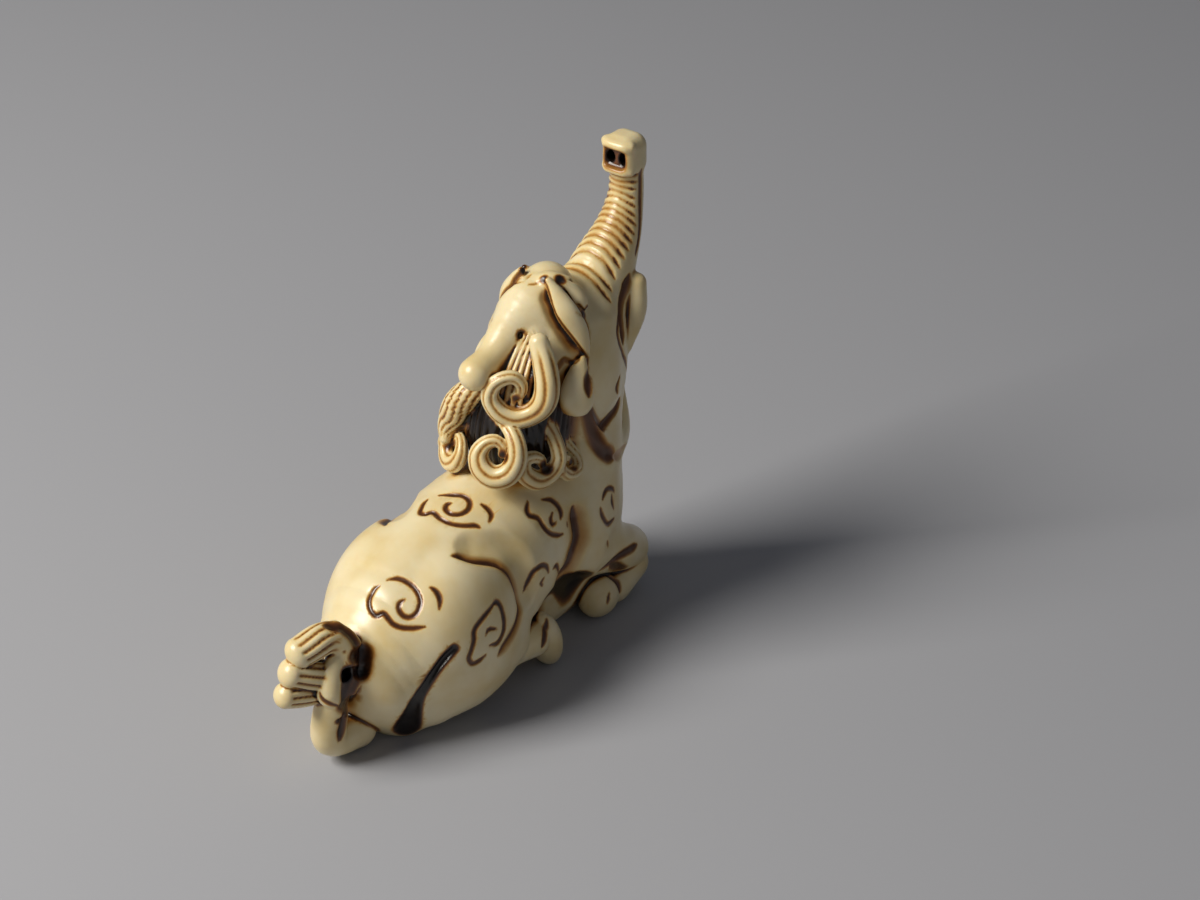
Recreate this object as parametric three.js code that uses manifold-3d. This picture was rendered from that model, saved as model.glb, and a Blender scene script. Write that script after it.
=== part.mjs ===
// An ivory netsuke: a crouching baku, the dream-eating beast, with its trunk raised.
// Millimetres, +X towards the beast's face, +Y to its left, +Z up. It rests on z = 0.
import * as THREE from "three";
import { mergeVertices } from "three/addons/utils/BufferGeometryUtils.js";
import Module from "manifold-3d";

const wasm = await Module();
wasm.setup();

// ---------------------------------------------------------------- driving dimensions

const RUMP_HEIGHT = 16.4; // top of the rump above the table
const SHOULDER_HEIGHT = 20.2; // top of the back where the neck begins
const HIP_WIDTH = 17.0; // across the thighs
const TRUNK_RINGS = 15;
const RING_DEPTH = 0.07; // as a share of the trunk's radius
const NOSTRIL_RADIUS = 0.5;
const FAR_CHEEK = 0.75; // the left side of the head is carved this much narrower
const CORD_HOLE_RADIUS = 1.4;
const CORD_HOLES_APART = 10; // between the two mouths of the cord channel, on the underside
const CORD_CHANNEL_X = -2; // its middle
const FINE_SIDES = 12; // limbs with at least this many sides get finer rounded ends
const SMALLEST_EDGE = 0.06; // facets finer than this are melted away at the end

// ---------------------------------------------------------------- helpers

// A closed three.js geometry as a solid that can be joined and cut.
function solidOf(geometry) {
  const bare = new THREE.BufferGeometry().setAttribute("position", geometry.getAttribute("position"));
  bare.setIndex(geometry.getIndex());
  const merged = mergeVertices(bare, 1e-4);
  const corners = merged.getIndex().array;
  const kept = [];
  for (let i = 0; i < corners.length; i += 3) {
    const [a, b, c] = corners.slice(i, i + 3);
    if (a !== b && b !== c && c !== a) kept.push(a, b, c);
  }
  return new wasm.Manifold(
    new wasm.Mesh({
      numProp: 3,
      vertProperties: merged.getAttribute("position").array,
      triVerts: new Uint32Array(kept),
    }),
  );
}

function geometryOf(solid) {
  const mesh = solid.getMesh();
  const geometry = new THREE.BufferGeometry();
  geometry.setAttribute("position", new THREE.BufferAttribute(mesh.vertProperties, 3));
  geometry.setIndex(new THREE.BufferAttribute(mesh.triVerts, 1));
  geometry.computeVertexNormals();
  return geometry;
}

const join = (solids) => solids.reduce((whole, next) => whole.add(next));
const bothSides = (make) => [make(-1), make(1)];

// Without the splinters and pockets left where several forms cross at one place.
const largestPiece = (solid) => solid.decompose().reduce((a, b) => (a.volume() > b.volume() ? a : b));

// A form swept along a smooth line through stations [x, y, z, half width, half depth],
// with rounded ends. Half width is measured along `across`.
function limb(stations, { sides = 8, steps = 4, cap = 1, across = [0, 1, 0], swell = () => 1 } = {}) {
  const line = new THREE.CatmullRomCurve3(stations.map(([x, y, z]) => new THREE.Vector3(x, y, z)));
  const girth = new THREE.CatmullRomCurve3(
    stations.map(([, , , width, depth = width]) => new THREE.Vector3(width, depth, 0)),
  );
  const capAngles = sides < FINE_SIDES ? [0, Math.PI / 3] : [0, Math.PI / 4, (Math.PI * 3) / 8];
  const profile = [
    ...capAngles.map((angle) => new THREE.Vector2(Math.sin(angle), -Math.cos(angle))),
    ...Array.from({ length: steps + 1 }, (_, i) => new THREE.Vector2(1, i / steps)),
    ...capAngles.toReversed().map((angle) => new THREE.Vector2(Math.sin(angle), 1 + Math.cos(angle))),
  ];
  const form = new THREE.LatheGeometry(profile, sides);
  const points = form.getAttribute("position");
  const lateral = new THREE.Vector3(...across);
  for (let i = 0; i < points.count; i++) {
    const along = points.getY(i);
    const t = THREE.MathUtils.clamp(along, 0, 1);
    const size = girth.getPoint(t).multiplyScalar(swell(t));
    const tangent = line.getTangent(t);
    const deep = new THREE.Vector3().crossVectors(lateral, tangent).normalize();
    const wide = new THREE.Vector3().crossVectors(tangent, deep);
    const place = line
      .getPoint(t)
      .addScaledVector(wide, points.getX(i) * size.x)
      .addScaledVector(deep, points.getZ(i) * size.y)
      .addScaledVector(tangent, (along - t) * cap * Math.min(size.x, size.y));
    points.setXYZ(i, place.x, place.y, place.z);
  }
  return solidOf(form);
}

// An ellipsoid with half axes `radii`, turned by degrees about X, Y and Z.
function pebble(centre, radii, turn = [0, 0, 0], detail = 3) {
  const ball = new THREE.IcosahedronGeometry(1, detail).deleteAttribute("normal").deleteAttribute("uv");
  const place = new THREE.Matrix4().compose(
    new THREE.Vector3(...centre),
    new THREE.Quaternion().setFromEuler(new THREE.Euler(...turn.map(THREE.MathUtils.degToRad))),
    new THREE.Vector3(...radii),
  );
  return solidOf(mergeVertices(ball).applyMatrix4(place));
}

// ---------------------------------------------------------------- body and legs

function body() {
  const w = HIP_WIDTH / 2;
  const rise = (share) => THREE.MathUtils.lerp(RUMP_HEIGHT, SHOULDER_HEIGHT, share);
  const section = (x, share, width, height) => [x, 0, rise(share) - height, width, height];
  const torso = limb(
    [
      [-16.0, 0, 7.0, 0.66 * w, 6.2],
      section(-11.5, 0.1, 0.9 * w, 8.3),
      section(-5, 0.7, 0.96 * w, 8.4),
      section(2.5, 1, 0.88 * w, 7.8),
      [8, 0, 11.4, 0.82 * w, 7.8],
      [12.2, 0, 10.4, 0.72 * w, 7.2],
    ],
    { sides: 16, steps: 8, cap: 0.75 },
  );
  const belly = limb(
    [
      [-14, 0, 3.9, 5.0],
      [-4, 0, 3.9, 4.6],
      [6, 0, 3.9, 4.3],
      [13, 0, 4.4, 4.6],
    ],
    { sides: 12, steps: 4, cap: 0.6 },
  );
  const neck = limb(
    [
      [8.0, 0, 12, 7.2],
      [10.8, 0, 17, 6.9],
      [12.0, 0, 22, 6.2],
    ],
    { sides: 16, steps: 4 },
  );
  return join([torso, belly, neck]);
}

function hindLeg(side) {
  const y = (value) => side * value;
  const thigh = pebble([-8.2, y(4.1), 9.6], [7.8, 5.0, 8.0], [side * 6, 22, 0]);
  const shin = limb([
    [-4.0, y(5.2), 6.0, 2.8],
    [-8.0, y(4.9), 4.0, 2.6],
    [-12.2, y(4.2), 3.3, 2.2],
  ]);
  const foot = limb([
    [-5.5, y(4.8), 4.6, 2.4],
    [-2.6, y(5.4), 4.6, 2.1],
    [-0.2, y(5.9), 4.2, 1.9],
  ]);
  const hoof = pebble([1.7, y(6.1), 3.2], [1.6, 1.8, 3.3], [0, -14, 0], 1);
  return join([thigh, shin, foot, hoof]);
}

function foreLeg(side) {
  const y = (value) => side * value;
  const upperArm = limb([
    [9.6, y(4.6), 14.6, 1.9],
    [9.0, y(5.3), 11.4, 2.1],
    [8.2, y(5.4), 9.4, 1.9],
  ]);
  const foreArm = limb([
    [9.0, y(5.0), 9.0, 2.2],
    [13.4, y(4.8), 7.0, 2.5],
    [17.0, y(4.1), 4.8, 2.3],
  ]);
  const shank = limb([
    [17.2, y(4.2), 3.0, 2.1],
    [14.0, y(4.8), 2.2, 1.9],
  ]);
  const paw = pebble([11.6, y(4.9), 2.3], [2.4, 1.9, 2.3], [0, 0, 0], 1);
  return join([upperArm, foreArm, shank, paw]);
}

// ---------------------------------------------------------------- head

function skull() {
  const cranium = limb(
    [
      [9.8, 0, 25.0, 5.2, 4.8],
      [9.0, 0, 29.6, 5.3, 4.9],
      [9.4, 0, 33.6, 4.1, 3.8],
      [10.2, 0, 35.6, 2.5, 2.5],
    ],
    { sides: 12, steps: 4 },
  );
  const face = limb(
    [
      [13.2, 0, 21.0, 4.8, 5.2],
      [13.4, 0, 26.0, 5.4, 5.7],
      [14.0, 0, 29.8, 4.9, 5.3],
      [15.4, 0, 32.2, 3.6, 3.8],
    ],
    { sides: 12, steps: 4 },
  );
  const brow = limb(
    [
      [8.8, 1.6, 35.8, 0.9],
      [8.4, 0, 36.6, 1.2],
      [8.8, -1.8, 37.0, 1.3],
    ],
    { across: [1, 0, 0] },
  );
  const horn = limb([
    [7.6, 0.2, 34.4, 2.6],
    [4.6, 0.2, 33.0, 1.9],
    [2.2, 0.2, 31.7, 1.45],
    [0.0, 0.2, 31.0, 1.6],
  ]);
  return join([cranium, face, brow, horn]);
}

// The slit that frees the horn's tip from the side of the head.
function hornSlit(side) {
  return limb(
    [
      [5.2, side * 1.9, 33.6, 0.4],
      [3.6, side * 1.7, 31.0, 0.4],
      [0.8, side * 1.6, 29.2, 0.4],
    ],
    { sides: 6 },
  );
}

function faceDetail(side) {
  const y = (value) => (side < 0 ? -value : value * FAR_CHEEK);
  const eyebrow = limb(
    [
      [8.2, y(1.4), 37.4, 0.4],
      [8.6, y(3.6), 35.0, 1.1],
      [9.0, y(5.4), 31.2, 0.3],
    ],
    { sides: 6, steps: 5 },
  );
  const eye = limb(
    [
      [10.2, y(2.0), 36.9, 0.4],
      [10.8, y(3.2), 35.6, 0.9],
      [11.0, y(4.2), 33.8, 0.3],
    ],
    { sides: 6 },
  );
  const ear = limb([
    [7.6, y(5.0), 30.6, 0.8, 1.2],
    [6.8, y(5.9), 28.6, 0.9, 1.6],
    [6.8, y(6.2), 26.8, 1.0, 1.5],
  ]);
  const earHollow = pebble([7.2, y(7.1), 28.2], [0.7, 0.7, 1.4], [0, -10, 0], 1);
  const cheek = limb(
    [
      [13.0, y(3.4), 32.0, 1.4, 2.4],
      [12.2, y(4.6), 28.0, 1.2, 2.4],
      [12.4, y(4.6), 24.6, 1.1, 1.9],
    ],
    { across: [0, 1, 0] },
  );
  const tusk = limb([
    [17.2, y(3.4), 27.6, 1.0],
    [18.8, y(3.6), 30.6, 1.15],
    [19.6, y(3.2), 33.2, 1.0],
  ]);
  const jaw = limb(
    [
      [9.2, y(5.4), 26.0, 0.8],
      [10.6, y(5.2), 21.6, 1.2],
      [13.8, y(4.2), 17.8, 1.5],
      [17.2, y(2.8), 18.2, 1.3],
      [19.2, y(0.8), 21.6, 1.0],
    ],
    { sides: 6, steps: 6, across: [0, 0, 1] },
  );
  return join([eyebrow, eye, ear.subtract(earHollow), cheek, tusk, jaw]);
}

// The open mouth under the trunk, with its pointed lower lip.
function mouth() {
  const lip = limb([
    [18.2, 0, 21.6, 1.6],
    [19.6, 0, 24.2, 1.2],
    [20.6, 0, 26.4, 0.5],
  ]);
  const opening = pebble([19.6, 0, 28.4], [1.6, 1.9, 2.2], [0, 0, 0], 2);
  return { lip, opening };
}

function trunk() {
  const ringed = (t) => 1 + RING_DEPTH * Math.cos(2 * Math.PI * TRUNK_RINGS * t);
  const tube = limb(
    [
      [16.6, 0, 31.0, 3.6],
      [18.2, 0, 33.8, 3.2],
      [20.7, 0, 37.2, 2.35],
      [22.0, 0, 40.4, 1.75],
      [22.1, 0, 43.0, 1.65],
      [21.8, 0, 44.6, 1.6],
    ],
    { sides: 10, steps: 2 * TRUNK_RINGS, swell: ringed },
  );
  const tip = limb(
    [
      [22.5, 0, 44.2, 1.75, 1.75],
      [21.8, 0, 45.4, 2.0, 1.9],
      [20.4, 0, 45.6, 2.0, 1.9],
    ],
    { sides: 10, steps: 3, cap: 0.2 },
  );
  const hollow = pebble([19.7, 0, 45.4], [0.9, 1.5, 1.4], [0, 0, 0], 1);
  const nostrils = bothSides((side) =>
    limb(
      [
        [22.2, side * 0.7, 45.4, NOSTRIL_RADIUS],
        [19, side * 0.7, 45.4, NOSTRIL_RADIUS],
      ],
      { sides: 6, steps: 1 },
    ),
  );
  return join([tube, tip]).subtract(join([hollow, ...nostrils]));
}

// ---------------------------------------------------------------- mane and tail

// A lock wound up in a flat spiral. `azimuth` turns its face from straight back towards
// the beast's right, and `from` is the clock angle at which its outer end starts.
function curl({ at, azimuth, tilt = 0, radius, turns = 1.35, hand = 1, thickness = 0.46, from = 70 }) {
  const a = THREE.MathUtils.degToRad(azimuth);
  const e = THREE.MathUtils.degToRad(tilt);
  const out = new THREE.Vector3(-Math.cos(a) * Math.cos(e), -Math.sin(a) * Math.cos(e), Math.sin(e));
  const right = new THREE.Vector3(Math.sin(a), -Math.cos(a), 0);
  const up = new THREE.Vector3().crossVectors(out, right);
  const count = 9;
  const stations = Array.from({ length: count }, (_, i) => {
    const t = i / (count - 1);
    const angle = THREE.MathUtils.degToRad(from) - hand * t * turns * 2 * Math.PI;
    const reach = radius * (1 - thickness * 0.5 - 0.66 * t ** 0.9);
    const point = new THREE.Vector3(...at)
      .addScaledVector(right, reach * Math.cos(angle))
      .addScaledVector(up, reach * Math.sin(angle))
      .addScaledVector(out, 0.2 * radius * t);
    return [...point.toArray(), radius * thickness * (1 - 0.6 * t), radius * thickness * (0.8 - 0.5 * t)];
  });
  return limb(stations, { sides: 6, steps: 11, across: out.toArray() });
}

function mane() {
  const base = limb(
    [
      [7.4, 0, 20.4, 4.6],
      [5.4, 0, 22.6, 5.6],
      [6.2, 0, 26.0, 5.4],
      [8.0, 0, 30.0, 4.0],
    ],
    { sides: 12, steps: 4 },
  );
  const near = [
    curl({ at: [1.5, -3.0, 28.0], azimuth: 38, radius: 3.7 }),
    curl({ at: [-0.8, -2.8, 23.7], azimuth: 28, tilt: 18, radius: 2.7 }),
  ];
  const far = [
    curl({ at: [2.4, 3.0, 25.8], azimuth: -38, radius: 2.7, hand: -1 }),
    curl({ at: [0.6, 3.0, 21.8], azimuth: -28, tilt: 18, radius: 2.2, hand: -1 }),
  ];
  const sides = bothSides((side) =>
    join([
      curl({ at: [2.9, side * 5.2, 22.9], azimuth: -side * 70, tilt: 10, radius: 2.4, hand: -side }),
      curl({ at: [5.8, side * 6.0, 21.9], azimuth: -side * 98, tilt: 8, radius: 2.0, hand: -side }),
    ]),
  );
  return join([base, ...near, ...far, ...sides]);
}

function tail() {
  const stem = limb(
    [
      [-18.4, 0, 1.8, 1.9],
      [-21.8, 0, 2.8, 1.7],
      [-22.0, -0.7, 6.8, 1.6],
      [-20.6, -1.2, 9.8, 1.5],
      [-20.2, -1.0, 12.4, 1.5],
      [-21.6, -0.2, 14.0, 1.4],
      [-24.2, 0.8, 13.6, 1.2],
    ],
    { steps: 9 },
  );
  const middleTuft = limb([
    [-20.4, 0, 8.0, 1.2],
    [-22.6, -0.2, 9.4, 1.5],
    [-25.2, 1.0, 11.8, 1.3],
  ]);
  const lowerTuft = limb([
    [-21.6, 0, 7.4, 1.0],
    [-24.0, 0.6, 8.6, 1.2],
    [-26.0, 1.2, 9.5, 1.2],
  ]);
  const root = limb([
    [-16.4, 0, 11.0, 2.2],
    [-18.8, 0, 10.2, 1.8],
    [-20.4, 0, 10.2, 1.0],
  ]);
  return join([stem, middleTuft, lowerTuft, root]);
}

// ---------------------------------------------------------------- the whole carving

// The curved channel for the cord, with both mouths on the underside.
function cordChannel() {
  const start = CORD_CHANNEL_X - CORD_HOLES_APART / 2;
  const end = CORD_CHANNEL_X + CORD_HOLES_APART / 2;
  return limb(
    [
      [start, 0, -2, CORD_HOLE_RADIUS],
      [start, 0, 1.5, CORD_HOLE_RADIUS],
      [CORD_CHANNEL_X, 0, 5, CORD_HOLE_RADIUS],
      [end, 0, 1.5, CORD_HOLE_RADIUS],
      [end, 0, -2, CORD_HOLE_RADIUS],
    ],
    { sides: 8, steps: 8 },
  );
}

function carving() {
  const { lip, opening } = mouth();
  const beast = join([
    body(),
    ...bothSides(hindLeg),
    ...bothSides(foreLeg),
    skull().subtract(join(bothSides(hornSlit))),
    ...bothSides(faceDetail),
    trunk(),
    lip,
    mane(),
    tail(),
  ]);
  const belowTable = solidOf(new THREE.BoxGeometry(80, 60, 20).translate(0, 0, -10));
  return largestPiece(beast.subtract(join([belowTable, cordChannel(), opening])).simplify(SMALLEST_EDGE));
}

const ivory = new THREE.MeshStandardMaterial({ color: 0xe6d6ac, roughness: 0.35, metalness: 0 });
const netsuke = new THREE.Mesh(geometryOf(carving()), ivory);
netsuke.name = "netsuke";

// The origin lies under the middle of the whole length and width.
netsuke.geometry.computeBoundingBox();
const middle = netsuke.geometry.boundingBox.getCenter(new THREE.Vector3());
netsuke.geometry.translate(-middle.x, -middle.y, 0);

const part = new THREE.Group();
part.add(netsuke);
export default part;
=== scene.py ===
"""A carved ivory netsuke: a crouching baku, the dream-eating beast, with its trunk raised.

The beast is modelled as a carver would see it, as one block of ivory. Limbs and pebbles of clay are
pressed together in a field of distances, locks and rings are scored into it, and the surface of the
field becomes one mesh. Lengths are millimetres in the carver's frame until the mesh is made: +X
towards the face, +Y to the beast's left, +Z up from the table.
"""

import math

import bpy
import numpy as np
import openvdb
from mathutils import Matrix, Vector


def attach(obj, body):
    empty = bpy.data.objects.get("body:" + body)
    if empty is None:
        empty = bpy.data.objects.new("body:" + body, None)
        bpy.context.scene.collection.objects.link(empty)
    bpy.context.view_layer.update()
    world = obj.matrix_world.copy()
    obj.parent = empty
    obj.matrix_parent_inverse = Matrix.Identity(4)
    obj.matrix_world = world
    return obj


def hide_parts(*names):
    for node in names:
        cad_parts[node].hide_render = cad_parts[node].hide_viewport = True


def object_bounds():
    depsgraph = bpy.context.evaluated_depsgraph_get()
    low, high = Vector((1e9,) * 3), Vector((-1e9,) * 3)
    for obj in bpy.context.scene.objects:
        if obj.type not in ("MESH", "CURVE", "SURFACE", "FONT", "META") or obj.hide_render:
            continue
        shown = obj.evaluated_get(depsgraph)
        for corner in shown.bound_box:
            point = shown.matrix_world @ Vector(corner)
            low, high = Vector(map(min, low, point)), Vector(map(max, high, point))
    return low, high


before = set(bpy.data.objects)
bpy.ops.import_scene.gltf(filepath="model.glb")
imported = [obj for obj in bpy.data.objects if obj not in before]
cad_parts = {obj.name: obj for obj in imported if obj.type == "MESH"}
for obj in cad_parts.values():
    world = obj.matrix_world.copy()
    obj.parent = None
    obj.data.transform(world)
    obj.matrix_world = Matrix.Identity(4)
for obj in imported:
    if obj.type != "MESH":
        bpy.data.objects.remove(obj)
CAD_LOW, CAD_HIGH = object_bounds()

# ------------------------------------------------------------------ the carver's frame

DESIGN_LENGTH = 51.07  # tail tip to trunk
TAIL_TIP_X = -27.06  # where the length begins in the carver's frame
MM = (CAD_HIGH[0] - CAD_LOW[0]) / DESIGN_LENGTH
ORIGIN = np.array([CAD_LOW[0] - TAIL_TIP_X * MM, 0.0, CAD_LOW[2]])
CELL = 0.14  # of the field
BLOCK_LOW = np.array([-28.4, -10.2, -0.8])
BLOCK_HIGH = np.array([25.2, 10.2, 48.6])
FAR = 4.0  # distances are kept no larger than this
MOST_TRIANGLES = 196000
MARGIN = 0.8  # of grid kept round a form, so that its fillet and stain fit
STAIN_FADE = 0.3  # over which old stain comes back beside a new form that covers it
STAIN_REACH = 0.35  # how far dirt soaks out of a cut
GRAVER_STEP = 0.3  # between places along a scored line
UPRIGHT = (0, 0, 0)
SIDES = (-1, 1)  # the beast's right and left
FAR_CHEEK = 0.75  # the head's left side is this much of its right side's width


# ------------------------------------------------------------------ curves


def spline(stations, count):
    """A smooth line of count + 1 rows through the stations, whatever number of columns they have."""
    knots = np.array(stations, dtype=float)
    knots = np.vstack([2 * knots[0] - knots[1], knots, 2 * knots[-1] - knots[-2]])
    at = np.linspace(0, len(stations) - 1, count + 1)
    start = np.minimum(at.astype(int), len(stations) - 2)
    t = (at - start)[:, None]
    a, b, c, d = (knots[start + i] for i in range(4))
    return 0.5 * (2 * b + (c - a) * t + (2 * a - 5 * b + 4 * c - d) * t**2 + (3 * (b - c) + d - a) * t**3)


def unit(vectors):
    return vectors / np.maximum(np.linalg.norm(vectors, axis=-1, keepdims=True), 1e-9)


def bump(u):
    """1 in the middle of a stroke, falling smoothly to 0 at its edges, u = 1."""
    return np.clip(1 - u * u, 0, 1) ** 2


def turned_axes(turn):
    """The three axes of a form turned by degrees about Z, then Y, then X."""
    x, y, z = np.radians(turn)
    about_x = np.array([[1, 0, 0], [0, math.cos(x), -math.sin(x)], [0, math.sin(x), math.cos(x)]])
    about_y = np.array([[math.cos(y), 0, math.sin(y)], [0, 1, 0], [-math.sin(y), 0, math.cos(y)]])
    about_z = np.array([[math.cos(z), -math.sin(z), 0], [math.sin(z), math.cos(z), 0], [0, 0, 1]])
    return (about_x @ about_y @ about_z).T


# ------------------------------------------------------------------ the block of clay


class Clay:
    """Distances to the carving's surface on a grid, negative inside, and how dark each place is stained."""

    def __init__(self):
        self.shape = np.ceil((BLOCK_HIGH - BLOCK_LOW) / CELL).astype(int) + 1
        self.field = np.full(self.shape, FAR, np.float32)
        self.stain = np.zeros(self.shape, np.float32)

    def window(self, low, high):
        """The grid cells between two corners, with their x, y and z."""
        first = np.clip(np.floor((np.asarray(low) - BLOCK_LOW) / CELL).astype(int), 0, self.shape - 1)
        last = np.ceil((np.asarray(high) - BLOCK_LOW) / CELL).astype(int) + 1
        last = np.clip(last, first + 1, self.shape)
        cells = tuple(slice(a, b) for a, b in zip(first, last))
        axes = [(BLOCK_LOW[i] + CELL * np.arange(first[i], last[i])).astype(np.float32) for i in range(3)]
        return cells, np.meshgrid(*axes, indexing="ij", sparse=True)

    def add(self, cells, distance, blend):
        """Presses a form on, with a fillet of about the blend's width."""
        here = self.field[cells]
        h = np.clip(blend - np.abs(here - distance), 0, None)
        self.stain[cells] *= np.clip((distance - here) / STAIN_FADE, 0, 1)
        self.field[cells] = np.minimum(here, distance) - h * h / (4 * max(blend, 1e-6))

    def remove(self, cells, distance, blend, dirt=0.0):
        """Cuts a form away, and leaves dirt in the cut."""
        here = self.field[cells]
        h = np.clip(blend - np.abs(here + distance), 0, None)
        self.field[cells] = np.maximum(here, -distance) + h * h / (4 * max(blend, 1e-6))
        if dirt:
            self.rub(cells, dirt * np.clip(1.1 - distance / STAIN_REACH, 0, 1))

    def rub(self, cells, dirt):
        self.stain[cells] = np.maximum(self.stain[cells], np.minimum(dirt, 1))

    def sample(self, values, points):
        """Values of the grid at any points, by trilinear interpolation."""
        at = np.clip((points - BLOCK_LOW) / CELL, 0, self.shape - 1.001)
        low = at.astype(int)
        f = at - low
        total = 0
        for corner in np.ndindex(2, 2, 2):
            weight = np.prod(np.where(corner, f, 1 - f), axis=1)
            total = total + weight * values[tuple((low + corner).T)]
        return total

    def slope(self, points):
        """The direction away from the surface at any points."""
        steps = np.eye(3) * CELL
        sides = [self.sample(self.field, points + s) - self.sample(self.field, points - s) for s in steps]
        return unit(np.stack(sides, axis=1))

    def settle(self, points):
        """Moves points to the nearest place on the surface."""
        points = np.array(points, dtype=float)
        for _ in range(6):
            here = self.sample(self.field, points)
            points -= np.clip(here, -0.8, 0.8)[:, None] * self.slope(points)
        return points


def sweep(clay, stations, across, steps, cap, reach):
    """Distance to a form swept along a smooth line, with the place along it and the angle about it."""
    rows = spline([(*s[:4], s[4] if len(s) > 4 else s[3]) for s in stations], steps)
    middles, girths = rows[:, :3], np.maximum(rows[:, 3:], 0.05)
    margin = girths.max() + reach
    cells, _ = clay.window(middles.min(0) - margin, middles.max(0) + margin)
    shape = tuple(s.stop - s.start for s in cells)
    best = np.full(shape, FAR, np.float32)
    along = np.zeros(shape, np.float32)
    about = np.zeros(shape, np.float32)
    for i in range(steps):
        start, end = middles[i], middles[i + 1]
        size = girths[i : i + 2].max() + reach
        part, (x, y, z) = clay.window(np.minimum(start, end) - size, np.maximum(start, end) + size)
        length = max(np.linalg.norm(end - start), 1e-6)
        tangent = (end - start) / length
        deep = unit(np.cross(across, tangent))
        wide = np.cross(tangent, deep)
        px, py, pz = x - start[0], y - start[1], z - start[2]
        run = px * tangent[0] + py * tangent[1] + pz * tangent[2]
        t = np.clip(run / length, 0, 1)
        w = girths[i, 0] + t * (girths[i + 1, 0] - girths[i, 0])
        d = girths[i, 1] + t * (girths[i + 1, 1] - girths[i, 1])
        end_size = cap * np.minimum(w, d)
        a = (px * wide[0] + py * wide[1] + pz * wide[2]) / w
        b = (px * deep[0] + py * deep[1] + pz * deep[2]) / d
        c = (run - t * length) / end_size
        q = np.sqrt(a * a + b * b + c * c)
        steepness = np.sqrt((a / w) ** 2 + (b / d) ** 2 + (c / end_size) ** 2)
        distance = (q * (q - 1) / np.maximum(steepness, 1e-4)).astype(np.float32)
        local = tuple(slice(p.start - o.start, p.stop - o.start) for p, o in zip(part, cells))
        nearer = distance < best[local]
        best[local][nearer] = distance[nearer]
        along[local][nearer] = ((i + t) / steps)[nearer]
        about[local][nearer] = np.arctan2(b, a)[nearer]
    return cells, best, along, about


def limb(
    clay, stations, across=(0, 1, 0), steps=12, cap=1.0, blend=1.0,
    strands=0, strand_depth=0.14, dirt=0.9, carve=False,
):
    """Adds a form swept through stations (x, y, z, half width, half depth), or cuts it away.

    Strands are grooves that run along it, evenly round it."""
    cells, distance, along, about = sweep(clay, stations, np.array(across, float), steps, cap, blend + 0.9)
    if carve:
        clay.remove(cells, distance, blend, dirt)
        return
    if strands:
        ridge = np.abs(np.sin(about * strands / 2 + 0.5))
        cut = (1 - ridge) ** 1.6 * np.clip(np.minimum(along, 1 - along) * 14, 0, 1)
        distance = distance + strand_depth * (cut - 0.25)
    clay.add(cells, distance, blend)
    if strands:
        clay.rub(cells, dirt * cut**1.5 * np.clip(1.2 - np.abs(distance) / 0.4, 0, 1))


def turned(clay, centre, reach, turn):
    """Grid cells near a centre, and their places on axes turned about it."""
    centre = np.array(centre, float)
    cells, (x, y, z) = clay.window(centre - reach, centre + reach)
    axes = turned_axes(turn)
    return cells, [(x - centre[0]) * a[0] + (y - centre[1]) * a[1] + (z - centre[2]) * a[2] for a in axes]


def pebble(clay, centre, radii, turn=UPRIGHT, blend=1.0, carve=False, dirt=0.8):
    """Adds or cuts an ellipsoid."""
    cells, places = turned(clay, centre, max(radii) + blend + MARGIN, turn)
    q = np.sqrt(sum((p / r) ** 2 for p, r in zip(places, radii)))
    steepness = np.sqrt(sum((p / r**2) ** 2 for p, r in zip(places, radii)))
    distance = (q * (q - 1) / np.maximum(steepness, 1e-4)).astype(np.float32)
    if carve:
        clay.remove(cells, distance, blend, dirt)
    else:
        clay.add(cells, distance, blend)


def block(clay, centre, half, rounding, blend=0.3, carve=False, dirt=0.8):
    """Adds or cuts a box with rounded edges."""
    cells, places = turned(clay, centre, math.dist(half, (0, 0, 0)) + blend + MARGIN, UPRIGHT)
    over = [np.abs(p) - (h - rounding) for p, h in zip(places, half)]
    outside = np.sqrt(sum(np.clip(o, 0, None) ** 2 for o in over))
    inside = np.minimum(np.maximum(np.maximum(over[0], over[1]), over[2]), 0)
    distance = (outside + inside - rounding).astype(np.float32)
    if carve:
        clay.remove(cells, distance, blend, dirt)
    else:
        clay.add(cells, distance, blend)


def groove(clay, points, width=0.45, depth=0.3, dirt=1.0):
    """Scores a line into the surface and rubs stain into it. Its ends run out thin."""
    length = sum(math.dist(a, b) for a, b in zip(points, points[1:]))
    steps = max(4, int(length / GRAVER_STEP))
    line = clay.settle(spline(points, steps))
    half = width / 2
    place = np.arange(steps + 1)
    size = half * np.clip(0.35 + np.minimum(place, place[::-1]) / 4.0, 0, 1)
    reach = half * 1.8 + CELL
    cells, _ = clay.window(line.min(0) - reach, line.max(0) + reach)
    shape = tuple(s.stop - s.start for s in cells)
    pressed = np.zeros(shape, np.float32)
    rubbed = np.zeros(shape, np.float32)
    for i in range(steps):
        start, end = line[i], line[i + 1]
        part, (x, y, z) = clay.window(np.minimum(start, end) - reach, np.maximum(start, end) + reach)
        step = end - start
        px, py, pz = x - start[0], y - start[1], z - start[2]
        t = np.clip((px * step[0] + py * step[1] + pz * step[2]) / max(step @ step, 1e-9), 0, 1)
        away = np.sqrt((px - t * step[0]) ** 2 + (py - t * step[1]) ** 2 + (pz - t * step[2]) ** 2)
        r = size[i] + t * (size[i + 1] - size[i])
        local = tuple(slice(p.start - o.start, p.stop - o.start) for p, o in zip(part, cells))
        pressed[local] = np.maximum(pressed[local], bump(away / (r * 1.25)) * r / half)
        rubbed[local] = np.maximum(rubbed[local], bump(away / (r * 1.7)))
    clay.field[cells] += depth * pressed
    clay.rub(cells, dirt * rubbed)


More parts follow.
